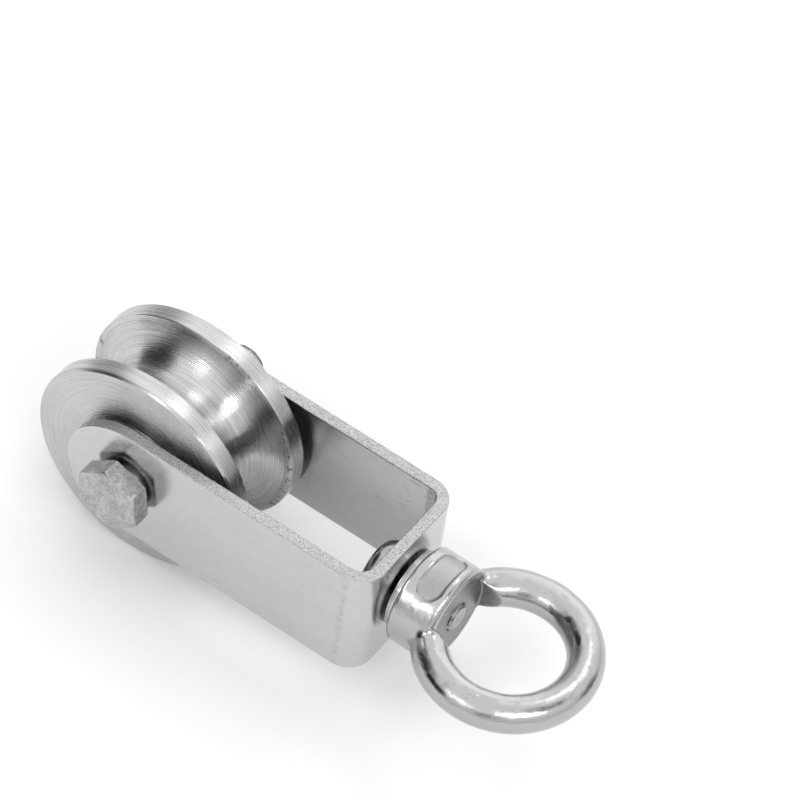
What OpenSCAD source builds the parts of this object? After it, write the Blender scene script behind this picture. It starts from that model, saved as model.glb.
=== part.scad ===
// Single-sheave swivel-eye block.
// The origin is the centre of the axle: +X runs along the block to the eye, +Y along the axle
// from the bolt's head to its nut, +Z up. All lengths are in millimetres.

/* [Sheave] */
// Diameter over the flanges
sheave_d = 46; // [44:0.5:48]
// Width over the two turned faces
sheave_w = 21; // [20.5:0.1:22]
// Width of the flat land on each flange
rim_land = 3.5; // [3.2:0.1:3.8]
// Radius of the rope groove's arc
groove_r = 6.6; // [6:0.1:6.6]
// Diameter at the bottom of the rope groove
groove_d = 31.2; // [30:0.2:32]
// Broken edge on each flange
rim_chamfer = 0.4; // [0.2:0.1:0.6]
// Diameter of the land that parts the two bearings
land_d = 19; // [18:0.5:20]

/* [Ball bearings] */
// Outside diameter
bearing_od = 22; // [22:0.1:22.4]
// Bore
bearing_id = 8; // [8:0.1:8.2]
// Width
bearing_w = 7; // [6.8:0.1:7]
// Diameter of a ball
ball_d = 3.969; // [3.9:0.001:4]
// Number of balls in each bearing
ball_count = 7; // [6:1:8]
// Diameter of the circle through the balls' centres
pitch_d = 15; // [14.9:0.05:15.1]

/* [Bracket] */
// Width of the strip that the bracket is bent from
strip_w = 26.3; // [25:0.1:28]
// Thickness of the strip
strip_t = 2.5; // [2:0.1:2.6]
// Width over the two legs
bracket_w = 29.3; // [29:0.1:30]
// From the axle to the outside of the base
bracket_l = 54.1; // [52:0.1:60]
// Outside radius of the two bends
bend_r = 5.2; // [4:0.1:6]

/* [Axle bolt and nut] */
// Thread diameter of the bolt
bolt_d = 8; // [7.9:0.05:8]
// Length under the head
bolt_l = 40; // [39.5:0.1:42]
// Width across the flats of the head and of the nut
hex_af = 12.8; // [12.5:0.1:13]
// Height of the head
head_h = 4.6; // [4:0.1:5.3]
// Play between the head and the bracket
head_gap = 0.9; // [0.4:0.1:1.2]
// Turn of the head about the axle, from +X towards +Z
head_turn = 40; // [0:1:60]
// Height of the locking nut
nut_h = 8; // [7.5:0.1:8]

/* [Swivel screw] */
// Thread diameter
screw_d = 6; // [5.8:0.1:6]
// Length under the head
screw_l = 15; // [14.5:0.1:15.5]
// Diameter of the head
screw_head_d = 13; // [12:0.1:13]
// Height of the head
screw_head_h = 4.2; // [3.8:0.1:4.6]

/* [Eye nut] */
// Diameter of the hub
hub_d = 19.8; // [19:0.1:21]
// Height of the hub
hub_h = 9; // [8.5:0.1:9.5]
// From the base of the hub to the centre of the ring
ring_rise = 20.6; // [20:0.1:21]
// Outside diameter of the ring
ring_od = 36; // [35:0.5:37]
// Thickness of the ring's round bar
ring_bar_d = 7.3; // [7:0.1:8]

/* [Hidden] */

steel = "silver";
bright = "gainsboro";
dark = "dimgray";

$fn = 96;
over = 1;                                   // how far a cutting tool runs past a face
slip = 0.02;                                // gap between two pieces pushed together by hand
ball_play = 0.05;                           // between a ball and its pocket in the cage
shield_play = 0.2;                          // between a shield and the inner ring

// Bracket
strip_r = strip_w / 2;
leg_out = bracket_w / 2;
leg_in = leg_out - strip_t;
bolt_hole_play = 0.2;
bolt_hole_r = bolt_d / 2 + bolt_hole_play;

// Sheave and bearings
sheave_r = sheave_d / 2;
groove_centre_r = groove_d / 2 + groove_r;
bearing_y = sheave_w / 2 - bearing_w / 2;   // middle of each bearing
pitch_r = pitch_d / 2;
race_play = 0.075;
race_r = ball_d / 2 + race_play;            // radius of the two races' arcs
inner_ring_r = pitch_r - 1.45;               // outside of the inner ring
outer_ring_r = pitch_r + 1.6;                // inside of the outer ring
shield_seat_r = pitch_r + 2.1;               // step in the outer ring that holds a shield
shield_seat_z = bearing_w / 2 - 0.7;
shield_t = 0.3;
cage_t = 1.8;
cage_w = ball_d + 1;
ring_chamfer = 0.3;
spacer_r = 5.9;

// Axle bolt and nut
shank_r = bolt_d / 2 - slip;
head_y = -leg_out - head_gap;               // underside of the head
hex_r = hex_af / sqrt(3);
hex_corner_h = 0.55 * (hex_r - hex_af / 2);  // height of the corners' chamfer
hex_flat_r = 0.47 * hex_af;                 // radius left flat inside the chamfer
washer_face_h = 0.4;
washer_face_r = 0.45 * hex_af;
bolt_tip = 0.8;                             // chamfer on the bolt's end
nut_body_h = 0.7 * nut_h;
collar_r = 0.44 * hex_af;
collar_round = 1.2;
insert_r = 5;
insert_h = 1.6;
insert_lip = 0.5;                           // collar turned in over the insert
nut_turn = 12;

// Swivel
base_in = bracket_l - strip_t;
swivel_play = 0.05;                         // between the base and the inner washer
screw_r = screw_d / 2 - slip;
screw_hole_play = 0.08;
screw_hole_r = screw_r + screw_hole_play;
screw_tip = 0.7;                            // chamfer on the screw's end
screw_head_round = 2.6;
inner_washer_r = 6.6;
inner_washer_t = 0.8;
outer_washer_r = 8;
outer_washer_t = 1.6;
hub_gap = 2.1;                              // between the base and the hub
hub_x = bracket_l + hub_gap;
screw_head_x = base_in - swivel_play - inner_washer_t;
recess_r = 3.2;
recess_depth = 2;

// Eye nut
hub_r = hub_d / 2;
hub_foot_round = 0.6;
hub_top_round = 1.4;
ring_r = ring_od / 2 - ring_bar_d / 2;
ring_x = hub_x + ring_rise;
face_r = 8;                                 // flat faced on top of the hub, inside the ring
panel_x = 4.7;                              // middle of the sunk panels, from the hub's foot
panel_l = 12;
panel_w = 4.8;
panel_depth = 0.4;

// Turns a shape's own Z axis to the row's Y axis.
module along_y() { rotate([-90, 0, 0]) children(); }

// Turns a shape's own Z axis to the row's X axis.
module along_x() { rotate([0, 90, 0]) children(); }

// Ring of rectangular section, centred on its own Z axis and starting at z = 0.
module ring(r_in, r_out, h) {
    rotate_extrude() translate([r_in, 0]) square([r_out - r_in, h]);
}

// Half-section of a turned bar with both outer edges broken.
module turned(r_in, r_out, h, edge) {
    polygon([[r_in, 0], [r_out - edge, 0], [r_out, edge], [r_out, h - edge], [r_out - edge, h], [r_in, h]]);
}

// Hexagon bar of height h, with its corners turned off at the end z = h, and at z = 0 if both is true.
module hex_bar(h, both = false) {
    foot_r = both ? hex_flat_r : hex_r + over;
    rise = hex_corner_h + over / 2;
    intersection() {
        cylinder(r = hex_r, h = h, $fn = 6);
        rotate_extrude() polygon([
            [0, 0], [foot_r, 0], [hex_r + over, both ? rise : 0],
            [hex_r + over, h - rise], [hex_flat_r, h], [0, h]]);
    }
}

// Section of the bracket along the block: a U with round bends.
module u_section() {
    difference() {
        bent_box(leg_out, bracket_l, bend_r);
        bent_box(leg_in, bracket_l - strip_t, bend_r - strip_t);
    }
}

// Rectangle from the ears' ends to x = l, with its two far corners rounded to r.
module bent_box(half_w, l, r) {
    translate([-strip_r - over, -half_w]) square([l - r + strip_r + over, 2 * half_w]);
    translate([0, -half_w + r]) square([l, 2 * (half_w - r)]);
    for (s = [-1, 1]) translate([l - r, s * (half_w - r)]) circle(r);
}

module bracket() {
    color(steel) difference() {
        intersection() {
            translate([0, 0, -strip_r]) linear_extrude(strip_w) u_section();
            translate([0, -leg_out - over, 0]) along_y() linear_extrude(bracket_w + 2 * over) {
                circle(strip_r);
                translate([0, -strip_r]) square([bracket_l + over, strip_w]);
            }
        }
        translate([0, -leg_out - over, 0]) along_y() cylinder(r = bolt_hole_r, h = bracket_w + 2 * over);
        translate([base_in - over, 0, 0]) along_x() cylinder(r = screw_hole_r, h = strip_t + 2 * over);
    }
}

// Half-section of the sheave: a turned bar less the groove and the two bearing seats.
module sheave_section() {
    difference() {
        translate([0, -sheave_w / 2]) turned(land_d / 2, sheave_r, sheave_w, rim_chamfer);
        translate([groove_centre_r, 0]) circle(groove_r);
        polygon([
            [groove_centre_r, -groove_r], [sheave_r + over, rim_land - sheave_w / 2],
            [sheave_r + over, sheave_w / 2 - rim_land], [groove_centre_r, groove_r]]);
        for (s = [0, 1]) mirror([0, s]) translate([0, sheave_w / 2 - bearing_w])
            square([bearing_od / 2 + slip, bearing_w + over]);
    }
}

module sheave() { color(bright) along_y() rotate_extrude($fn = 180) sheave_section(); }

// Places a bearing's pieces on side s: -1 is the bolt's head, 1 its nut.
module at_bearing(s) { translate([0, s * bearing_y, 0]) along_y() children(); }

module outer_ring(s) {
    color(steel) at_bearing(s) rotate_extrude() difference() {
        translate([0, -bearing_w / 2]) turned(outer_ring_r, bearing_od / 2, bearing_w, ring_chamfer);
        translate([pitch_r, 0]) circle(race_r);
        for (m = [0, 1]) mirror([0, m]) translate([0, shield_seat_z]) square([shield_seat_r, bearing_w]);
    }
}

module inner_ring(s) {
    color(steel) at_bearing(s) rotate_extrude() difference() {
        translate([bearing_id / 2, -bearing_w / 2]) square([inner_ring_r - bearing_id / 2, bearing_w]);
        translate([pitch_r, 0]) circle(race_r);
    }
}

// Puts its children at the place of ball k on the pitch circle.
module at_ball(k) { rotate([0, 0, k * 360 / ball_count]) translate([pitch_r, 0, 0]) children(); }

module cage(s) {
    color(dark) at_bearing(s) difference() {
        translate([0, 0, -cage_w / 2]) ring(pitch_r - cage_t / 2, pitch_r + cage_t / 2, cage_w);
        for (k = [1:ball_count]) at_ball(k) along_x()
            cylinder(r = ball_d / 2 + ball_play, h = 3 * cage_t, center = true);
    }
}

module ball(s, k) { color(bright) at_bearing(s) at_ball(k) sphere(d = ball_d); }

// Shield on the bearing's end m: 1 faces the bracket's leg, -1 the middle of the sheave.
module shield(s, m) {
    color(dark) at_bearing(s) mirror([0, 0, s * m > 0 ? 0 : 1])
        translate([0, 0, shield_seat_z]) ring(inner_ring_r + shield_play, shield_seat_r - slip, shield_t);
}

// Spacer between the inner ring and the bracket's leg.
module side_spacer(s) {
    gap = leg_in - sheave_w / 2;
    color(steel) translate([0, s > 0 ? sheave_w / 2 : -leg_in, 0]) along_y()
        ring(bolt_d / 2, spacer_r, gap);
}

// Spacer between the two inner rings.
module spacer_tube() {
    l = sheave_w - 2 * bearing_w;
    color(steel) translate([0, -l / 2, 0]) along_y() ring(bolt_d / 2, spacer_r, l);
}

module axle_bolt() {
    color(bright) translate([0, head_y, 0]) {
        along_y() cylinder(r = shank_r, h = bolt_l - bolt_tip);
        translate([0, bolt_l - bolt_tip, 0]) along_y()
            cylinder(r1 = shank_r, r2 = shank_r - bolt_tip, h = bolt_tip);
        translate([0, -washer_face_h, 0]) along_y() cylinder(r = washer_face_r, h = washer_face_h);
        mirror([0, 1, 0]) translate([0, washer_face_h, 0]) along_y() rotate([0, 0, -head_turn])
            hex_bar(head_h - washer_face_h);
    }
}

// Half-section of the nut's collar, rounded at its end.
module collar_section() {
    square([collar_r, nut_h - collar_round]);
    square([collar_r - collar_round, nut_h]);
    translate([collar_r - collar_round, nut_h - collar_round]) circle(collar_round);
}

module lock_nut() {
    color(bright) translate([0, leg_out, 0]) along_y() difference() {
        union() {
            rotate([0, 0, nut_turn]) hex_bar(nut_body_h, both = true);
            rotate_extrude() intersection() {
                collar_section();
                square([hex_r, nut_h]);
            }
        }
        translate([0, 0, -over]) cylinder(r = bolt_d / 2, h = nut_h + 2 * over);
        translate([0, 0, nut_h - insert_lip - insert_h]) cylinder(r = insert_r, h = insert_h);
    }
}

module nut_insert() {
    color("ivory") translate([0, leg_out + nut_h - insert_lip - insert_h, 0]) along_y()
        ring(bolt_d / 2, insert_r, insert_h);
}

// Half-section of the swivel screw's pan head, on its axis from its underside up.
module pan_section() {
    flat_r = screw_head_d / 2 - screw_head_round;
    square([screw_head_d / 2, screw_head_h - screw_head_round]);
    square([flat_r, screw_head_h]);
    translate([flat_r, screw_head_h - screw_head_round]) circle(screw_head_round);
}

module swivel_screw() {
    color(dark) translate([screw_head_x, 0, 0]) {
        mirror([1, 0, 0]) along_x() difference() {
            rotate_extrude() intersection() {
                pan_section();
                square([screw_head_d, screw_head_h]);
            }
            translate([0, 0, screw_head_h - recess_depth])
                cylinder(r = recess_r, h = recess_depth + over, $fn = 6);
        }
        along_x() cylinder(r = screw_r, h = screw_l - screw_tip);
        translate([screw_l - screw_tip, 0, 0]) along_x()
            cylinder(r1 = screw_r, r2 = screw_r - screw_tip, h = screw_tip);
    }
}

module inner_washer() {
    color(steel) translate([screw_head_x, 0, 0]) along_x() ring(screw_hole_r, inner_washer_r, inner_washer_t);
}

module outer_washer() {
    color(dark) translate([hub_x - outer_washer_t, 0, 0]) along_x()
        ring(screw_hole_r, outer_washer_r, outer_washer_t);
}

// Half-section of the hub, from its foot up, with both outer edges rounded.
module hub_section() {
    intersection() {
        union() {
            translate([0, hub_foot_round]) square([hub_r, hub_h - hub_foot_round - hub_top_round]);
            square([hub_r - hub_foot_round, hub_h - hub_top_round]);
            translate([hub_r - hub_foot_round, hub_foot_round]) circle(hub_foot_round);
            square([hub_r - hub_top_round, hub_h]);
            translate([hub_r - hub_top_round, hub_h - hub_top_round]) circle(hub_top_round);
        }
        square([hub_r + over, hub_h]);
    }
}

// Tool for the two sunk panels: the hub's skin under a plate with round ends.
module panels() {
    run = panel_l - panel_w;
    intersection() {
        translate([hub_x, 0, 0]) along_x() ring(hub_r - panel_depth, hub_r + over, hub_h);
        translate([hub_x + panel_x, 0, -hub_r - over]) linear_extrude(2 * (hub_r + over)) {
            square([panel_w, run], center = true);
            for (s = [-1, 1]) translate([0, s * run / 2]) circle(d = panel_w);
        }
    }
}

module eye_nut() {
    color(bright) difference() {
        union() {
            translate([hub_x, 0, 0]) along_x() rotate_extrude() hub_section();
            translate([ring_x, 0, 0]) rotate_extrude($fn = 180) translate([ring_r, 0]) circle(d = ring_bar_d);
        }
        translate([hub_x - over, 0, 0]) along_x() cylinder(r = screw_d / 2, h = hub_h + 2 * over);
        translate([hub_x + hub_h, 0, 0]) along_x() cylinder(r = face_r, h = ring_rise - hub_h);
        panels();
    }
}

bracket();
sheave();
outer_ring(-1);  // outer_ring_a
outer_ring(1);  // outer_ring_b
inner_ring(-1);  // inner_ring_a
inner_ring(1);  // inner_ring_b
cage(-1);  // cage_a
cage(1);  // cage_b
for (k = [1:ball_count]) {
    ball(-1, k);
    ball(1, k);
}
shield(-1, 1);  // shield_out_a
shield(1, 1);  // shield_out_b
shield(-1, -1);  // shield_in_a
shield(1, -1);  // shield_in_b
side_spacer(-1);  // side_spacer_a
side_spacer(1);  // side_spacer_b
spacer_tube();
axle_bolt();
lock_nut();
nut_insert();
swivel_screw();
inner_washer();
outer_washer();
eye_nut();
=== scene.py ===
"""Looks of the swivel-eye block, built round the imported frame. Shapes are worked out in millimetres, in the
row frame: +X along the block to the eye, +Y along the axle from the bolt's head to its nut, +Z up."""
import math

import bmesh
import bpy
import numpy as np
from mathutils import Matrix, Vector


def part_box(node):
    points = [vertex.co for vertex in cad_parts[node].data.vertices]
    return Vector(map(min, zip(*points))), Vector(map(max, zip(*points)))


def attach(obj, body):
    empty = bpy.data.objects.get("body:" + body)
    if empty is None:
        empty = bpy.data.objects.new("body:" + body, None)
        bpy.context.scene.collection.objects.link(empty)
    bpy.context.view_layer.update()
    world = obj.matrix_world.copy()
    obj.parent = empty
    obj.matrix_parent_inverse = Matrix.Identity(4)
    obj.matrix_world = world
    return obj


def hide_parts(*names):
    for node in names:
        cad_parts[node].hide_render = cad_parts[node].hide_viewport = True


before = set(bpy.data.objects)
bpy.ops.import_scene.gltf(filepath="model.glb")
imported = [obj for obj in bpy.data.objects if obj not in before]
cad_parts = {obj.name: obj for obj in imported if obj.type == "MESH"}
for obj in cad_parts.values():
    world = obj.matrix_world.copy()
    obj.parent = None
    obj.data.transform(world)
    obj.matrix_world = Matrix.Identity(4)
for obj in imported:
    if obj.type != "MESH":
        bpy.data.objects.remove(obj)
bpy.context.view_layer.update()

MM = 0.001
TURN = 2 * math.pi


def span(node, axis):
    """Lowest and highest coordinate of a CAD node on one axis, in mm."""
    low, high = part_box(node)
    return low[axis] / MM, high[axis] / MM


# ---------------------------------------------------------------- sizes, in mm, as in the CAD model

STRIP_R = span("bracket", 2)[1]   # half width of the strip, and radius of its ends
LEG_OUT = span("bracket", 1)[1]   # outer face of a leg
BRACKET_L = span("bracket", 0)[1]
STRIP_T = 2.5
BEND_R = 5.2                      # outside of a bend
BOLT_HOLE_R = 4.2
SCREW_HOLE_R = 3.06
STRIP_EDGE = 0.32                 # rounding of the cut edges
HOLE_EDGE = 0.15

SHEAVE_R = span("sheave", 2)[1]
SHEAVE_Y = span("sheave", 1)[1]   # half width
SEAT_R = 11.02
SEAT_Y = 3.5
LAND_R = 9.5                      # shoulder between the bearing seats
GROOVE_R = 6.6                    # of the groove's round bottom
GROOVE_DEEP_R = 15.6              # from the axle to the groove's bottom
RIM_LAND = 3.5
RIM_CHAMFER = 0.42
LIP_ROUND = 0.22
TICKS_R = (20.8, 22.2)            # chatter ticks come in between these radii
TICKS_Y = (6.7, 7.0)              # and end between these distances from the middle

BOLT_R = 3.98
BOLT_PITCH = 1.25
BOLT_THREAD_Y = 2.45              # where the thread starts
BOLT_TIP = 0.8                    # chamfer at the thread's end
BOLT_GAP = 0.9                    # between the bolt's head and the leg
HEX_AF = 12.8                     # bolt head and nut, across the flats
HEX_TOP_R = 0.47 * HEX_AF         # flat top inside the chamfer
HEX_FACE_R = 0.45 * HEX_AF        # washer face under the head
HEX_FACE_H = 0.4
HEX_SOFT = 3.0                    # softening of the hexagons' corners
CHAMFER = math.tan(math.radians(28))
HEAD_CORNER = math.radians(39.6)
NUT_CORNER = math.radians(12)
NUT_BORE_R = 4.0
COLLAR_R = 0.44 * HEX_AF          # of the nut's collar, which holds the nylon ring
COLLAR_BORE_R = 4.35

SCREW_R = 2.98
SCREW_PITCH = 1.0
SCREW_TIP = 0.7
SCREW_HEAD_H = 4.2
SOCKET_AF = 5.5
SOCKET_DEPTH = 2.0

HUB_X, EYE_END = span("eye_nut", 0)
HUB_H = 9.0
HUB_R = 9.9
RING_OUT = span("eye_nut", 1)[1]
BAR_R = 3.65
RING_X = EYE_END - RING_OUT
RING_R = RING_OUT - BAR_R
HUB_FOOT_EDGE = 0.7               # roundings of the hub's two ends
HUB_TOP_EDGE = 1.5
NECK_FILLET = 1.1                 # between hub and ring
FACE_R = 8.0                      # machined face round the screw's end
EYE_BORE_R = 3.0
PANEL_X = HUB_X + 4.7             # middle of the sunk panels
PANEL_HALF_L = 6.0
PANEL_HALF_W = 2.4
PANEL_DEPTH = 0.4
CAST_RIPPLE = 0.035               # height of the casting's slow unevenness
NET_STEP = 0.34                   # grid for the eye nut's mesh


# ---------------------------------------------------------------- materials
# Noise scales are per metre of the object, and bump depths are in mm.

def add_node(tree, kind, sockets, **settings):
    """A shader node with its settings, each socket holding a value or linked to another node's output."""
    node = tree.nodes.new("ShaderNode" + kind)
    for key, value in settings.items():
        setattr(node, key, value)
    for key, value in sockets.items():
        if isinstance(value, bpy.types.NodeSocket):
            tree.links.new(value, node.inputs[key])
        else:
            node.inputs[key].default_value = value
    return node


class Look:
    """A metal or plastic material under construction: a Principled shader and short ways to add nodes."""

    def __init__(self, name, metallic=1.0, anisotropic=0.0, specular=0.5):
        self.material = bpy.data.materials.new(name)
        self.material.use_nodes = True
        self.tree = self.material.node_tree
        self.shader = self.tree.nodes["Principled BSDF"]
        self.shader.inputs["Metallic"].default_value = metallic
        self.shader.inputs["Anisotropic"].default_value = anisotropic
        self.shader.inputs["Specular IOR Level"].default_value = specular
        self.coords = self.tree.nodes.new("ShaderNodeTexCoord")
        self.object = self.coords.outputs["Object"]
        self.normal = None

    def add(self, kind, sockets, out=0, **settings):
        return add_node(self.tree, kind, sockets, **settings).outputs[out]

    def math(self, op, a, b=0.0):
        return self.add("Math", {0: a, 1: b}, operation=op)

    def times(self, *factors):
        product = factors[0]
        for factor in factors[1:]:
            product = self.math("MULTIPLY", product, factor)
        return product

    def length(self, a, b):
        return self.math("SQRT", self.math("ADD", self.times(a, a), self.times(b, b)))

    def split(self, vector):
        return add_node(self.tree, "SeparateXYZ", {0: vector}).outputs

    def join(self, x=0.0, y=0.0, z=0.0):
        return self.add("CombineXYZ", {0: x, 1: y, 2: z})

    def noise(self, vector, scale, detail=2.0, roughness=0.5):
        return self.add("TexNoise", {"Vector": vector, "Scale": scale, "Detail": detail,
                                     "Roughness": roughness})

    def stretch(self, vector, x, y, z):
        return self.add("Mapping", {"Vector": vector, "Scale": (x, y, z)})

    def remap(self, value, low, high, to_low=0.0, to_high=1.0, smooth=False):
        return self.add("MapRange", {"Value": value, "From Min": low, "From Max": high,
                                     "To Min": to_low, "To Max": to_high},
                        interpolation_type="SMOOTHSTEP" if smooth else "LINEAR")

    def blend(self, factor, a, b):
        return self.add("Mix", {"Factor": factor, 2: a, 3: b}, data_type="FLOAT")

    def grey(self, value, tint=(1.0, 1.0, 1.0)):
        """Colour of the given brightness socket, times a tint."""
        return self.add("CombineColor", {i: self.times(value, tint[i]) for i in range(3)})

    def bump(self, height, depth_mm, strength=1.0):
        sockets = {"Height": height, "Distance": depth_mm * MM, "Strength": strength}
        if self.normal is not None:
            sockets["Normal"] = self.normal
        self.normal = self.add("Bump", sockets)

    def tangent(self, axis):
        self.tree.links.new(self.add("Tangent", {}, direction_type="RADIAL", axis=axis),
                            self.shader.inputs["Tangent"])

    def done(self, colour, roughness):
        for value, socket in ((colour, "Base Color"), (roughness, "Roughness"), (self.normal, "Normal")):
            if isinstance(value, bpy.types.NodeSocket):
                self.tree.links.new(value, self.shader.inputs[socket])
            elif value is not None:
                self.shader.inputs[socket].default_value = value
        return self.material


def turned_look(name, axis, brightness=0.56, roughness=0.235, feed_mm=0.45, depth=0.009, anisotropic=0.97,
                chatter=False, side_mm=None):
    """Lathe-turned steel: fine rings round an axis (0 is X, 1 is Y), on barrels and grooves, and fainter
    ones on the flat sides at side_mm."""
    look = Look(name, anisotropic=anisotropic)
    look.shader.inputs["Anisotropic Rotation"].default_value = 0.25
    xyz = look.split(look.object)
    along, across = xyz[axis], [xyz[i] for i in range(3) if i != axis]
    radius = look.length(*across)
    cosine, sine = look.math("DIVIDE", across[0], radius), look.math("DIVIDE", across[1], radius)
    from_middle = look.math("ABSOLUTE", along)
    travel = look.math("ADD", radius, from_middle)      # of the tool along the section
    section = look.join(radius, along)
    wander = look.times(look.noise(section, 900, 1.0), 9.0)
    feed = look.math("SINE", look.math("ADD", look.times(travel, TURN / (feed_mm * MM)), wander))
    fine = look.remap(look.noise(section, 6500, 2.0, 0.7), 0.36, 0.64)
    # The streaks change only slowly round the axis, so they read as broken rings.
    drift = 0.6 * MM
    streaks = look.add("TexNoise", {"Vector": look.join(radius, along, look.times(cosine, drift)),
                                    "W": look.times(sine, drift), "Scale": 3000.0,
                                    "Detail": 2.0, "Roughness": 0.6}, noise_dimensions="4D")
    streaks = look.remap(streaks, 0.4, 0.6)
    patch = look.remap(look.noise(look.object, 110, 3.0), 0.35, 0.65)
    height = look.math("ADD", look.times(feed, look.remap(streaks, 0, 1, 0.5, 0.9)),
                       look.math("ADD", look.times(fine, 0.8), look.times(streaks, 0.6)))
    look.bump(height, depth)
    look.tangent("XYZ"[axis])
    tone = look.times(look.remap(fine, 0, 1, 0.90, 1.07), look.remap(streaks, 0, 1, 0.92, 1.05),
                      look.remap(feed, -1, 1, 0.84, 1.12))
    if side_mm:
        side = look.remap(from_middle, (side_mm - 0.3) * MM, (side_mm - 0.1) * MM)
        tone = look.blend(look.times(side, 0.6), tone, 0.97)
    tone = look.times(tone, look.remap(patch, 0, 1, 0.95, 1.04), brightness)
    if chatter:
        lip = look.times(look.remap(radius, TICKS_R[0] * MM, TICKS_R[1] * MM, smooth=True),
                         look.remap(from_middle, TICKS_Y[1] * MM, TICKS_Y[0] * MM, smooth=True))
        ticks = look.times(look.remap(look.noise(look.object, 1150, 1.0), 0.56, 0.66, smooth=True), lip,
                           look.remap(look.noise(look.object, 55, 1.0), 0.38, 0.5, smooth=True))
        look.bump(ticks, -0.03)
        tone = look.times(tone, look.remap(ticks, 0, 1, 1.0, 0.45))
    rough = look.math("ADD", look.remap(patch, 0, 1, roughness - 0.02, roughness + 0.04),
                      look.remap(streaks, 0, 1, 0.05, -0.03))
    return look.done(look.grey(tone), rough)


def strip_look():
    """Satin stainless strip: fine lines along the strip, a few scratches, rough cut edges and a strained
    line along each bend."""
    look = Look("satin_strip")
    edge = look.math("ABSOLUTE", look.split(look.coords.outputs["Normal"])[2])
    edge = look.remap(edge, 0.35, 0.75, smooth=True)
    lines = look.noise(look.stretch(look.object, 0.03, 0.03, 1.0), 6000, 3.0, 0.7)
    haze = look.noise(look.stretch(look.object, 0.4, 0.4, 1.0), 130, 3.0, 0.6)
    mottle = look.noise(look.object, 700, 3.0, 0.6)
    grain = look.noise(look.object, 4600, 3.0, 0.8)
    scores = look.noise(look.stretch(look.object, 0.12, 0.12, 1.0), 1700, 1.0)
    scores = look.remap(scores, 0.72, 0.80, smooth=True)
    specks = look.remap(look.noise(look.object, 1500, 1.0), 0.74, 0.80, smooth=True)
    marks = look.times(look.math("MAXIMUM", scores, specks),
                       look.remap(look.noise(look.object, 75, 1.0), 0.42, 0.58, smooth=True))
    bend_start = (BRACKET_L - BEND_R + 0.4) * MM
    from_bend = look.math("ABSOLUTE", look.math("SUBTRACT", look.split(look.object)[0], bend_start))
    strained = look.times(look.remap(from_bend, 1.2 * MM, 0.2 * MM, smooth=True),
                          look.remap(look.noise(look.object, 900, 3.0, 0.7), 0.42, 0.62, smooth=True))
    rough_part = look.math("MAXIMUM", edge, look.times(strained, 0.6))
    look.bump(look.times(grain, rough_part), 0.12)
    look.bump(lines, 0.02)
    look.bump(marks, -0.03)
    look.bump(haze, 0.05, 0.6)
    tone = look.times(look.remap(haze, 0.3, 0.7, 0.97, 1.03), look.remap(lines, 0.3, 0.7, 0.96, 1.03),
                      look.remap(mottle, 0.3, 0.7, 0.97, 1.03), look.blend(marks, 0.575, 0.43),
                      look.blend(rough_part, 1.0, look.remap(grain, 0.42, 0.58, 0.56, 1.04)))
    rough = look.blend(rough_part, look.remap(haze, 0.3, 0.7, 0.12, 0.18),
                       look.remap(grain, 0.3, 0.7, 0.22, 0.4))
    return look.done(look.grey(tone), rough)


def cast_look():
    """Mirror-polished investment casting: soft waves, an orange-peel skin, fine pits, sunk panels left as
    cast, and a machined face round the screw's end."""
    look = Look("polished_casting")
    xyz = look.split(look.object)
    spread = look.length(xyz[1], xyz[2])
    waves = look.noise(look.object, 190, 2.0, 0.4)
    peel = look.noise(look.object, 1300, 3.0, 0.6)
    speckle = look.noise(look.object, 5200, 2.0, 0.6)
    glitter = look.noise(look.object, 4300, 2.0, 0.6)
    patch = look.remap(look.noise(look.object, 260, 2.0), 0.42, 0.62, smooth=True)
    pits = look.add("TexVoronoi", {"Vector": look.object, "Scale": 1500.0}, out="Distance")
    pits = look.times(look.remap(pits, 0.2, 0.08, smooth=True), patch)
    panel_high = look.math("ABSOLUTE", look.math("SUBTRACT", xyz[0], PANEL_X * MM))
    sunk = look.times(look.remap(spread, (HUB_R - 0.1) * MM, (HUB_R - 0.25) * MM, smooth=True),
                      look.remap(panel_high, (PANEL_HALF_W + 0.4) * MM, PANEL_HALF_W * MM, smooth=True),
                      look.remap(look.math("ABSOLUTE", xyz[2]), 5.5 * MM, 6.5 * MM, smooth=True))
    hub_top = HUB_X + HUB_H
    faced = look.times(look.remap(spread, (FACE_R + 0.2) * MM, FACE_R * MM, smooth=True),
                       look.remap(xyz[0], (hub_top - 0.3) * MM, (hub_top - 0.1) * MM, smooth=True),
                       look.math("LESS_THAN", xyz[0], RING_X * MM))
    tool = look.noise(look.join(spread), 3500, 2.0, 0.7)
    look.bump(waves, 0.05)
    look.bump(look.times(peel, look.remap(patch, 0.0, 1.0, 0.4, 1.0)), 0.022)
    look.bump(look.times(glitter, look.remap(patch, 0.0, 1.0, 0.6, 1.0)), 0.036)
    unpolished = look.math("MAXIMUM", sunk, faced)
    look.bump(look.times(speckle, look.math("MAXIMUM", patch, unpolished)), 0.03)
    look.bump(pits, -0.03)
    look.bump(look.times(tool, faced), 0.03)
    tone = look.times(look.remap(waves, 0.3, 0.7, 0.97, 1.02), look.blend(pits, 0.43, 0.24),
                      look.blend(sunk, 1.0, 0.84),
                      look.blend(faced, 1.0, look.remap(speckle, 0.38, 0.62, 0.42, 0.76)))
    rough = look.blend(pits, look.remap(peel, 0.35, 0.65, 0.06, 0.13), 0.4)
    rough = look.blend(unpolished, rough, look.remap(speckle, 0.3, 0.7, 0.26, 0.4))
    return look.done(look.grey(tone, (1.0, 0.997, 0.99)), rough)


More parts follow.
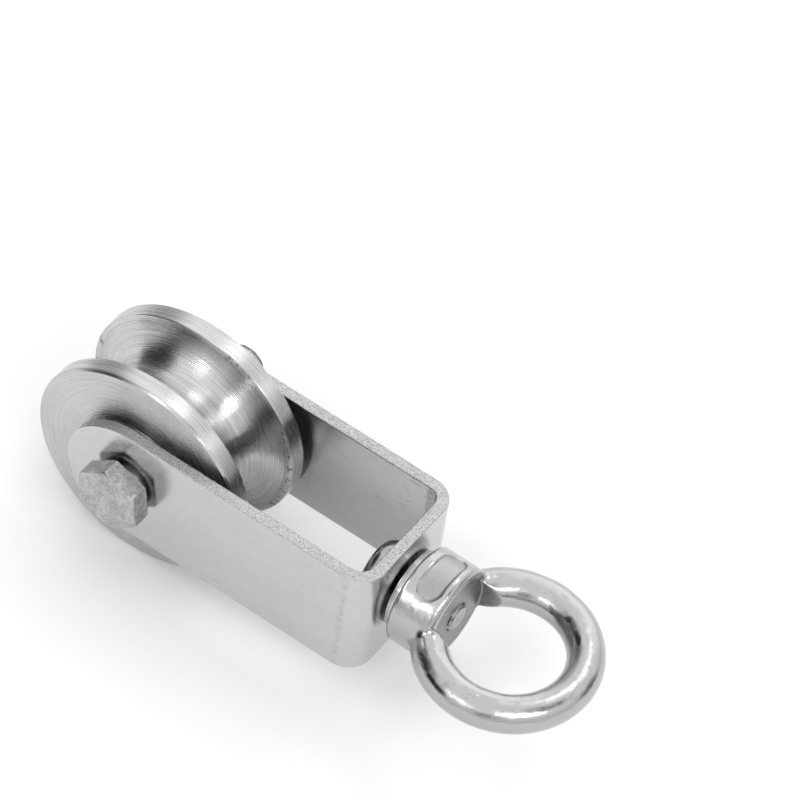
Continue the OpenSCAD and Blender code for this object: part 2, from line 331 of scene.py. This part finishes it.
def forged_look(name, brightness=0.44, roughness=0.2, grain_depth=0.03):
    """Cold-formed fastener steel: matt grain, soft dents and slight staining."""
    look = Look(name)
    grain = look.noise(look.object, 3600, 4.0, 0.75)
    dents = look.noise(look.object, 1100, 2.0, 0.5)
    stain = look.noise(look.object, 260, 3.0, 0.6)
    look.bump(grain, grain_depth)
    look.bump(dents, grain_depth * 1.6)
    tone = look.times(look.remap(grain, 0.40, 0.60, 0.86, 1.12), look.remap(stain, 0.38, 0.62, 0.86, 1.1),
                      look.remap(dents, 0.35, 0.65, 0.86, 1.12), brightness)
    rough = look.math("ADD", look.remap(grain, 0.3, 0.7, roughness - 0.06, roughness + 0.08),
                      look.remap(stain, 0.3, 0.7, -0.03, 0.04))
    return look.done(look.grey(tone), rough)


def nylon_look():
    """Off-white nylon with a faint moulded grain."""
    look = Look("nylon_insert", metallic=0.0, specular=0.45)
    grain = look.noise(look.object, 3800, 3.0, 0.6)
    cloud = look.noise(look.object, 300, 2.0)
    look.bump(grain, 0.015, 0.6)
    tone = look.times(look.remap(cloud, 0.3, 0.7, 0.94, 1.03), look.remap(grain, 0.3, 0.7, 0.97, 1.02), 0.82)
    return look.done(look.grey(tone, (1.0, 0.98, 0.92)), look.remap(grain, 0.3, 0.7, 0.38, 0.5))


TURNED = turned_look("turned_sheave", 1, chatter=True, side_mm=SHEAVE_Y)
STRIP = strip_look()
CAST = cast_look()
BOLT = forged_look("bolt_steel")
SCREW = forged_look("screw_steel", brightness=0.36, roughness=0.16, grain_depth=0.012)
WASHER = turned_look("washer_steel", 0, brightness=0.5, depth=0.004, anisotropic=0.5)
SPACER = turned_look("spacer_steel", 1, brightness=0.5, depth=0.004, anisotropic=0.5)
GROUND = turned_look("ground_steel", 1, brightness=0.62, roughness=0.14, depth=0.001, anisotropic=0.4)
PRESSED = forged_look("pressed_sheet", brightness=0.58, roughness=0.24, grain_depth=0.008)
NYLON = nylon_look()


# ---------------------------------------------------------------- mesh tools

def ring_y(radius, y, angles):
    """Points round the axle: angles turn from +X towards +Z."""
    return np.stack(np.broadcast_arrays(radius * np.cos(angles), y, radius * np.sin(angles)), 1)


def ring_x(radius, x, angles):
    """Points round the swivel's axis: angles turn from +Y towards +Z."""
    return np.stack(np.broadcast_arrays(x, radius * np.cos(angles), radius * np.sin(angles)), 1)


def circle(count):
    return np.arange(count) * TURN / count


def hexagon(across_flats, corner, angles, soft=0.0):
    """Radius of a hexagon at each angle, with a corner at the given angle and its edges softened a little."""
    from_flat = np.mod(angles - corner, math.pi / 3) - math.pi / 6
    sharp = across_flats / 2 / np.cos(from_flat)
    return sharp - soft * (sharp / (across_flats / 2) - 1) ** 2


def rounded(points, steps=4):
    """Closed section of (r, h, rounding) corners as a list of (r, h)."""
    out = []
    for i, (r, h, rounding) in enumerate(points):
        here = np.array([r, h])
        if rounding <= 0:
            out.append(here)
            continue
        before = np.array(points[i - 1][:2]) - here
        after = np.array(points[(i + 1) % len(points)][:2]) - here
        before, after = before / np.linalg.norm(before), after / np.linalg.norm(after)
        half = math.acos(max(-1.0, min(1.0, float(before @ after)))) / 2
        middle = before + after
        centre = here + middle / np.linalg.norm(middle) * rounding / math.sin(half)
        start = here + before * rounding / math.tan(half) - centre
        end = here + after * rounding / math.tan(half) - centre
        sweep = math.atan2(start[0] * end[1] - start[1] * end[0], start @ end)
        for k in range(steps + 1):
            c, s = math.cos(sweep * k / steps), math.sin(sweep * k / steps)
            out.append(centre + np.array([c * start[0] - s * start[1], s * start[0] + c * start[1]]))
    return out


def loft(rings, wrap=False):
    """Faces between neighbouring rings of points. A ring of one point is a pole."""
    starts = np.cumsum([0] + [len(r) for r in rings])
    faces = []
    pairs = list(zip(range(len(rings) - 1), range(1, len(rings)))) + ([(len(rings) - 1, 0)] if wrap else [])
    for a, b in pairs:
        na, nb, sa, sb = len(rings[a]), len(rings[b]), int(starts[a]), int(starts[b])
        for i in range(max(na, nb)):
            j = (i + 1) % max(na, nb)
            if na == 1:
                faces.append((sa, sb + i, sb + j))
            elif nb == 1:
                faces.append((sa + i, sb, sa + j))
            else:
                faces.append((sa + i, sb + i, sb + j, sa + j))
    return np.concatenate(rings), faces


def soften(piece, width_mm, weld=False):
    """Rounds the piece's sharp edges and keeps its flat faces flat in the shading."""
    if weld:
        piece.modifiers.new("weld", "WELD").merge_threshold = 1e-7
    if width_mm:
        bevel = piece.modifiers.new("round_edges", "BEVEL")
        bevel.width, bevel.segments = width_mm * MM, 2
        bevel.limit_method, bevel.angle_limit = "ANGLE", math.radians(30)
        bevel.miter_outer = "MITER_ARC"
    normals = piece.modifiers.new("flat_faces", "WEIGHTED_NORMAL")
    normals.mode, normals.keep_sharp = "FACE_AREA", False


def build(name, points, faces, material, body, replaces, edge_mm=0.0):
    """A finished piece from points in mm, riding on a body in place of CAD nodes."""
    mesh = bpy.data.meshes.new(name)
    mesh.from_pydata([tuple(p) for p in np.asarray(points, float) * MM], [], faces)
    shell = bmesh.new()
    shell.from_mesh(mesh)
    bmesh.ops.recalc_face_normals(shell, faces=shell.faces)
    shell.to_mesh(mesh)
    shell.free()
    mesh.shade_smooth()
    mesh.materials.append(material)
    piece = bpy.data.objects.new(name, mesh)
    bpy.context.scene.collection.objects.link(piece)
    soften(piece, edge_mm)
    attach(piece, body)
    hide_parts(*replaces)
    return piece


# ---------------------------------------------------------------- bracket

def bracket():
    """The strip is made flat, with round ends, three holes and softened edges, and then bent to a U.
    On the flat strip s runs along it, w across it and t through its thickness."""
    leg = BRACKET_L - BEND_R
    middle_r = BEND_R - STRIP_T / 2
    arc = math.pi / 2 * middle_r
    base = 2 * (LEG_OUT - BEND_R)
    total = 2 * (leg + arc) + base
    shell = bmesh.new()
    half_t = STRIP_T / 2

    def outline(inset):
        """Outer edge of the strip: points (s, w), moved inwards."""
        a = np.linspace(math.pi / 2, 3 * math.pi / 2, 73)
        r = STRIP_R - inset
        left = np.stack([r * np.cos(a), r * np.sin(a)], 1)
        return np.concatenate([left, np.array([total, 0]) - left])

    def hole(s, r):
        """Edge of a hole, in the same form."""
        a = circle(72)
        return lambda inset: np.stack([s + (r + inset) * np.cos(a), (r + inset) * np.sin(a)], 1)

    rims = {"top": [], "bottom": []}
    for shape, edge in ((outline, STRIP_EDGE), (hole(0, BOLT_HOLE_R), HOLE_EDGE),
                        (hole(total, BOLT_HOLE_R), HOLE_EDGE), (hole(total / 2, SCREW_HOLE_R), HOLE_EDGE)):
        turns = [k * math.pi / 8 for k in range(5)]
        levels = [(edge * (1 - math.sin(a)), half_t - edge * (1 - math.cos(a))) for a in turns]
        levels += [(inset, -t) for inset, t in reversed(levels)]
        loops = [[shell.verts.new((s, w, t)) for s, w in shape(inset)] for inset, t in levels]
        for upper, lower in zip(loops, loops[1:]):
            for i in range(len(upper)):
                j = (i + 1) % len(upper)
                shell.faces.new((upper[i], lower[i], lower[j], upper[j]))
        for side, loop in (("top", loops[0]), ("bottom", loops[-1])):
            rims[side] += [shell.edges.get((loop[i - 1], loop[i])) for i in range(len(loop))]
    for edges in rims.values():
        bmesh.ops.triangle_fill(shell, use_beauty=True, use_dissolve=False, edges=edges)
    # Cross cuts, close together where the strip bends.
    cuts = [s0 + arc * k / 14 for s0 in (leg, leg + arc + base) for k in range(15)]
    cuts += list(np.arange(6, leg, 6)) + list(total - np.arange(6, leg, 6)) + [total / 2 - 6, total / 2 + 6]
    for s in cuts:
        bmesh.ops.bisect_plane(shell, geom=shell.verts[:] + shell.edges[:] + shell.faces[:],
                               plane_co=(float(s), 0, 0), plane_no=(1, 0, 0))
    for w in (-9, -4.5, 0, 4.5, 9):
        bmesh.ops.bisect_plane(shell, geom=shell.verts[:] + shell.edges[:] + shell.faces[:],
                               plane_co=(0, w, 0), plane_no=(0, 1, 0))
    for v in shell.verts:
        s, w, t = v.co
        side = -1 if s < total / 2 else 1
        run = min(s, total - s)
        if run <= leg:
            x, y = run, side * (LEG_OUT - half_t + t)
        elif run <= leg + arc:
            phi = (run - leg) / middle_r
            x = leg + (middle_r + t) * math.sin(phi)
            y = side * (LEG_OUT - BEND_R + (middle_r + t) * math.cos(phi))
        else:
            x, y = BRACKET_L - half_t + t, s - total / 2
        # Bending narrows the strip a little outside the bend and widens it inside.
        strain = math.exp(-((run - leg - arc / 2) / (0.55 * arc)) ** 2)
        v.co = Vector((x, y, w * (1 - 0.009 * strain * t / half_t)))
    bmesh.ops.remove_doubles(shell, verts=shell.verts, dist=1e-4)
    shell.verts.ensure_lookup_table()
    shell.verts.index_update()
    points = [tuple(v.co) for v in shell.verts]
    faces = [[v.index for v in f.verts] for f in shell.faces]
    shell.free()
    build("bent_strip", points, faces, STRIP, "bracket", ["bracket"])


# ---------------------------------------------------------------- sheave

def sheave():
    """Turned section: two broad rim lands with broken edges, a U groove and a seat for each bearing."""
    groove_centre = GROOVE_DEEP_R + GROOVE_R
    lip_y = SHEAVE_Y - RIM_LAND - LIP_ROUND
    half = [(LAND_R, SEAT_Y, 0.2), (SEAT_R, SEAT_Y, 0.0), (SEAT_R, SHEAVE_Y, 0.35)]
    half += [(r, SHEAVE_Y, 0.0) for r in np.linspace(SEAT_R + 1, SHEAVE_R - 1, 11)]
    half += [(SHEAVE_R - RIM_CHAMFER, SHEAVE_Y, 0.1), (SHEAVE_R, SHEAVE_Y - RIM_CHAMFER, 0.12)]
    half += [(SHEAVE_R, y, 0.0) for y in np.linspace(SHEAVE_Y - 1, lip_y + 0.6, 5)]
    half += [(SHEAVE_R, lip_y, LIP_ROUND)]
    bottom = [(groove_centre - GROOVE_R * math.cos(a), GROOVE_R * math.sin(a), 0.0)
              for a in np.linspace(math.pi / 2, -math.pi / 2, 61)]
    other = [(r, -y, e) for r, y, e in reversed(half)]
    section = rounded(half + bottom + other)
    angles = circle(256)
    points, faces = loft([ring_y(r, y, angles) for r, y in section], wrap=True)
    build("grooved_sheave", points, faces, TURNED, "sheave", ["sheave"])


# ---------------------------------------------------------------- axle bolt, nut and swivel screw

def thread(crest, pitch, along, angles):
    """Radius of a thread at a place along its axis."""
    wave = np.mod(along / pitch - angles / TURN, 1.0)
    depth = np.clip((1 - np.abs(2 * wave - 1) - 0.14) / 0.74, 0, 1)
    return crest - 0.61 * pitch * depth


def threaded_rings(ring, crest, pitch, start, end, tip, angles):
    """Rings of a thread from start to end, running out at the start and chamfered at the tip."""
    rings = []
    steps = int((end - start) / pitch * 14)
    for k in range(steps + 1):
        along = start + (end - start) * k / steps
        radius = thread(crest, pitch, along, angles)
        radius = crest + (radius - crest) * min(1.0, (along - start) / pitch)
        rings.append(ring(np.minimum(radius, crest - tip + (end - along)), along, angles))
    return rings


def axle_bolt():
    """Hexagon head with a chamfered top and a washer face, shank and thread, head towards -Y."""
    low, high = span("axle_bolt", 1)
    underside = -LEG_OUT - BOLT_GAP
    angles = circle(96)
    hexa = hexagon(HEX_AF, HEAD_CORNER, angles, soft=HEX_SOFT)
    washer_face = underside - HEX_FACE_H
    rings = [np.array([[0, low, 0]])]
    rings += [ring_y(HEX_TOP_R * f, low, angles) for f in (0.35, 0.7, 1.0)]
    fall = np.maximum(0, hexa - HEX_TOP_R) * CHAMFER
    rings += [ring_y(HEX_TOP_R + (hexa - HEX_TOP_R) * f, low + fall * f, angles) for f in (0.5, 1.0)]
    rings += [ring_y(hexa, low + fall + (washer_face - low - fall) * f, angles) for f in (0.3, 0.65, 1.0)]
    rings += [ring_y(HEX_FACE_R, y, angles) for y in (washer_face, underside)]
    rings += [ring_y(BOLT_R, y, angles) for y in (underside, -4.0, 2.4)]
    rings += threaded_rings(ring_y, BOLT_R, BOLT_PITCH, BOLT_THREAD_Y, high, BOLT_TIP, angles)
    rings += [ring_y(1.6, high, angles), np.array([[0, high - 0.1, 0]])]
    points, faces = loft(rings)
    build("hex_bolt", points, faces, BOLT, "bracket", ["axle_bolt"], edge_mm=0.13)


def lock_nut():
    """Hexagon chamfered on both faces, with a rolled collar over the nylon ring."""
    low, high = span("lock_nut", 1)
    angles = circle(96)
    hexa = hexagon(HEX_AF, NUT_CORNER, angles, soft=HEX_SOFT)
    fall = np.maximum(0, hexa - HEX_TOP_R) * CHAMFER
    body_top = low + 0.7 * (high - low)
    rings = [ring_y(NUT_BORE_R, low + 0.5, angles), ring_y(NUT_BORE_R + 0.5, low, angles),
             ring_y(HEX_TOP_R, low, angles)]
    rings += [ring_y(hexa, low + fall, angles), ring_y(hexa, (low + body_top) / 2, angles),
              ring_y(hexa, body_top - fall, angles), ring_y(HEX_TOP_R, body_top, angles)]
    top = rounded([(COLLAR_R, body_top - 1, 0), (COLLAR_R + 0.35, body_top, 0.3),
                   (COLLAR_R, body_top + 0.6, 0.4), (COLLAR_R, high, 1.1), (COLLAR_BORE_R, high, 0.25),
                   (COLLAR_BORE_R, high - 0.5, 0), (NUT_BORE_R, high - 0.5, 0)], 5)
    rings += [ring_y(r, y, angles) for r, y in top[1:]]
    points, faces = loft(rings, wrap=True)
    build("locking_nut", points, faces, BOLT, "bracket", ["lock_nut"], edge_mm=0.1)


def swivel_screw():
    """Low domed head with a hexagon recess, and a thread that ends in the eye nut's machined face."""
    low, high = span("swivel_screw", 0)
    underside = low + SCREW_HEAD_H
    head_r = span("swivel_screw", 1)[1]
    angles = circle(96)
    socket = hexagon(SOCKET_AF, 0.0, angles)
    rings = [np.array([[low + SOCKET_DEPTH + 0.4, 0, 0]]), ring_x(1.5, low + SOCKET_DEPTH + 0.1, angles),
             ring_x(socket, low + SOCKET_DEPTH, angles), ring_x(socket, low + 0.15, angles)]
    dome = rounded([(3.55, low, 0.1), (head_r, low + 0.2, 2.4), (head_r, underside - 0.2, 0.0),
                    (head_r - 0.2, underside, 0.0)], 10)
    rings += [ring_x(r, x, angles) for r, x in dome]
    rings += [ring_x(SCREW_R, underside, angles), ring_x(SCREW_R, underside + 1, angles)]
    rings += threaded_rings(ring_x, SCREW_R, SCREW_PITCH, underside + 1.1, high, SCREW_TIP, angles)
    rings += [ring_x(1.2, high - 0.12, angles), np.array([[high - 0.2, 0, 0]])]
    points, faces = loft(rings)
    build("pan_screw", points, faces, SCREW, "eye", ["swivel_screw"], edge_mm=0.1)


# ---------------------------------------------------------------- eye nut

def smooth_min(a, b, k):
    """The lower of two distances, with a fillet of about k where they meet."""
    h = np.clip(0.5 + 0.5 * (b - a) / k, 0, 1)
    return b + (a - b) * h - k * h * (1 - h)


def smooth_max(a, b, k):
    return -smooth_min(-a, -b, k)


def eye_shape(p):
    """Signed distance to the eye nut's surface, negative inside."""
    x, y, z = p[:, 0], p[:, 1], p[:, 2]
    spread = np.hypot(y, z)
    middle = HUB_X + HUB_H / 2
    edge = np.where(x < middle, HUB_FOOT_EDGE, HUB_TOP_EDGE)
    side, end = spread - (HUB_R - edge), np.abs(x - middle) - (HUB_H / 2 - edge)
    hub = np.hypot(np.maximum(side, 0), np.maximum(end, 0)) + np.minimum(np.maximum(side, end), 0) - edge
    ring = np.hypot(np.hypot(x - RING_X, y) - RING_R, z) - BAR_R
    body = smooth_min(hub, ring, NECK_FILLET)
    face = np.maximum(np.maximum(spread - FACE_R, HUB_X + HUB_H - x), x - RING_X)
    body = smooth_max(body, -face, 0.35)
    bore = np.maximum(spread - EYE_BORE_R, x - HUB_X - HUB_H - 2)
    body = smooth_max(body, -bore, 0.3)
    plate = np.hypot(x - PANEL_X, np.maximum(np.abs(y) - (PANEL_HALF_L - PANEL_HALF_W), 0)) - PANEL_HALF_W
    sunk = smooth_max(plate, HUB_R - PANEL_DEPTH - spread, 0.2)
    sunk = np.maximum(sunk, 4.0 - np.abs(z))
    body = smooth_max(body, -sunk, 0.18)
    ripple = CAST_RIPPLE * np.sin(0.9 * x + 1.7) * np.sin(0.8 * y + 0.4) * np.sin(1.1 * z + 2.2)
    return body + ripple * np.clip((spread - FACE_R) / 1.5, 0, 1)


def surface_net(shape, low, high, step, rounds=4):
    """Quad mesh of the surface where shape is 0, with its points evened out and settled on the surface."""
    axes = [np.arange(a, b + step, step) for a, b in zip(low, high)]
    grid = np.stack(np.meshgrid(*axes, indexing="ij"), -1)
    values = shape(grid.reshape(-1, 3)).reshape(grid.shape[:3])
    inside = values < 0
    cells = tuple(n - 1 for n in values.shape)

    def corner(array, i, j, k):
        return array[i:i + cells[0], j:j + cells[1], k:k + cells[2]]

    count = sum(corner(inside, i, j, k).astype(int) for i in (0, 1) for j in (0, 1) for k in (0, 1))
    active = (count > 0) & (count < 8)
    number = np.full(cells, -1)
    number[active] = np.arange(active.sum())
    points = corner(grid, 0, 0, 0)[active] + step / 2
    quads = []
    for axis in range(3):
        shift = [slice(0, -1) if a == axis else slice(None) for a in range(3)]
        ahead = [slice(1, None) if a == axis else slice(None) for a in range(3)]
        for i, j, k in np.argwhere(inside[tuple(shift)] != inside[tuple(ahead)]):
            b, c = [a for a in range(3) if a != axis]
            around = []
            for db, dc in ((0, 0), (1, 0), (1, 1), (0, 1)):
                cell = [i, j, k]
                cell[b] -= db
                cell[c] -= dc
                around.append(number[tuple(cell)])
            quads.append(around)
    quads = np.array(quads)

    def settle(p):
        for _ in range(3):
            d = shape(p)
            slope = np.stack([(shape(p + e) - shape(p - e)) / 0.02 for e in np.eye(3) * 0.01], 1)
            size = np.maximum((slope ** 2).sum(1), 0.05)
            p = p - slope * np.clip(d / size, -step / 2, step / 2)[:, None]
        return p

    points = settle(points)
    edges = np.concatenate([quads[:, [i, (i + 1) % 4]] for i in range(4)])
    for _ in range(rounds):
        total = np.zeros_like(points)
        weight = np.zeros(len(points))
        for a, b in ((0, 1), (1, 0)):
            np.add.at(total, edges[:, a], points[edges[:, b]])
            np.add.at(weight, edges[:, a], 1)
        points = settle(0.5 * points + 0.5 * total / weight[:, None])
    return points, [tuple(int(n) for n in q) for q in quads]


def eye_nut():
    """Hub and ring as one casting, meshed from eye_shape."""
    margin = 1.0
    low = (HUB_X - margin, -RING_OUT - margin, -HUB_R - margin)
    high = (EYE_END + margin, RING_OUT + margin, HUB_R + margin)
    points, faces = surface_net(eye_shape, low, high, NET_STEP)
    build("cast_eye_nut", points, faces, CAST, "eye", ["eye_nut"])


bracket()
sheave()
axle_bolt()
lock_nut()
swivel_screw()
eye_nut()

# CAD nodes that keep their own shape get rounded edges and a material.
KEPT = {"outer_washer": (WASHER, 0.25), "inner_washer": (WASHER, 0.15), "nut_insert": (NYLON, 0.2),
        "spacer_tube": (SPACER, 0.2)}
for end in "ab":
    KEPT["side_spacer_" + end] = (SPACER, 0.2)
    KEPT["inner_ring_" + end] = (GROUND, 0.2)
    KEPT["outer_ring_" + end] = (GROUND, 0.0)
    KEPT["shield_out_" + end] = (PRESSED, 0.06)
    KEPT["shield_in_" + end] = (PRESSED, 0.06)
    KEPT["cage_" + end] = (PRESSED, 0.0)
    for k in range(1, 8):
        KEPT["ball_" + end + str(k)] = (GROUND, 0.0)
for node, (material, edge_mm) in KEPT.items():
    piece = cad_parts[node]
    piece.material_slots[0].material = material
    if edge_mm:
        soften(piece, edge_mm, weld=True)


# ---------------------------------------------------------------- stage, lights and camera

def area_light(name, place, target, size, power):
    light = bpy.data.lights.new(name, "AREA")
    light.shape, light.size, light.size_y = "RECTANGLE", size[0], size[1]
    light.energy = power
    lamp = bpy.data.objects.new(name, light)
    lamp.location = place
    lamp.rotation_mode = "QUATERNION"
    lamp.rotation_quaternion = (Vector(target) - Vector(place)).to_track_quat("-Z", "Y")
    bpy.context.scene.collection.objects.link(lamp)


FLOOR_Z = span("sheave", 2)[0] * MM
floor_mesh = bpy.data.meshes.new("floor")
floor_mesh.from_pydata([(x, y, FLOOR_Z) for x, y in ((-4, -4), (4, -4), (4, 4), (-4, 4))], [], [(0, 1, 2, 3)])
floor = bpy.data.objects.new("floor", floor_mesh)
bpy.context.scene.collection.objects.link(floor)
paper = Look("paper", metallic=0.0, specular=0.1)
floor_mesh.materials.append(paper.done((0.9, 0.9, 0.9, 1), 0.9))

world = bpy.data.worlds.new("studio")
bpy.context.scene.world = world
world.use_nodes = True
sky = world.node_tree
direction = add_node(sky, "TexCoord", {}).outputs["Generated"]
upward = add_node(sky, "SeparateXYZ", {0: direction}).outputs[2]
light = add_node(sky, "MapRange", {"Value": upward, "From Min": -0.1, "From Max": 0.6,
                                   "To Min": 0.78, "To Max": 1.3}).outputs[0]
# Dark screens round the block, so that polished metal has something dark to show, and a white wall
# behind. Each is a direction, the angles in degrees where it is full and where it ends, and its depth.
SCREENS = (((-0.90, -0.13, 0.41), 24, 32, 0.96),
           ((-0.68, -0.71, 0.17), 14, 23, 0.95),
           ((-0.88, 0.41, 0.26), 13, 27, 0.35),
           ((0.57, 0.08, 0.82), 8, 17, 0.75),
           ((0.29, -0.88, 0.37), 6, 14, 0.65),
           ((0.75, 0.6, 0.12), 6, 18, 0.7))
WHITE_WALL = ((-0.22, 0.94, 0.26), 10, 34, -0.55)      # a negative depth brightens
for toward, inner, outer, depth in SCREENS + (WHITE_WALL,):
    facing = add_node(sky, "VectorMath", {0: direction, 1: Vector(toward).normalized()},
                      operation="DOT_PRODUCT").outputs["Value"]
    shade = add_node(sky, "MapRange", {"Value": facing, "From Min": math.cos(math.radians(outer)),
                                       "From Max": math.cos(math.radians(inner)),
                                       "To Min": 1.0, "To Max": 1 - depth},
                     interpolation_type="SMOOTHSTEP").outputs[0]
    light = add_node(sky, "Math", {0: light, 1: shade}, operation="MULTIPLY").outputs[0]
sky.links.new(light, sky.nodes["Background"].inputs["Color"])

area_light("key", place=(0.56, -0.34, 0.51), target=(0.04, 0, 0), size=(0.40, 0.09), power=1.35)
area_light("left", place=(-0.14, -0.66, 0.50), target=(0.04, 0, 0), size=(0.16, 0.10), power=0.5)
area_light("top_back", place=(0.10, 0.45, 0.66), target=(0.03, 0, 0), size=(0.22, 0.12), power=0.40)

CAMERA_AT = (0.3462, -0.5610, 0.8220)
CAMERA_TURN = (39.03, -6.02, 35.50)   # degrees about X, Y and Z
FOCAL_MM, SENSOR_MM = 254.7, 36
lens = bpy.data.cameras.new("camera")
lens.sensor_width, lens.lens = SENSOR_MM, FOCAL_MM
lens.clip_start, lens.clip_end = 0.05, 20
camera = bpy.data.objects.new("camera", lens)
camera.location = CAMERA_AT
camera.rotation_euler = [math.radians(angle) for angle in CAMERA_TURN]
bpy.context.scene.collection.objects.link(camera)
bpy.context.scene.camera = camera
bpy.context.scene.view_settings.view_transform = "Standard"
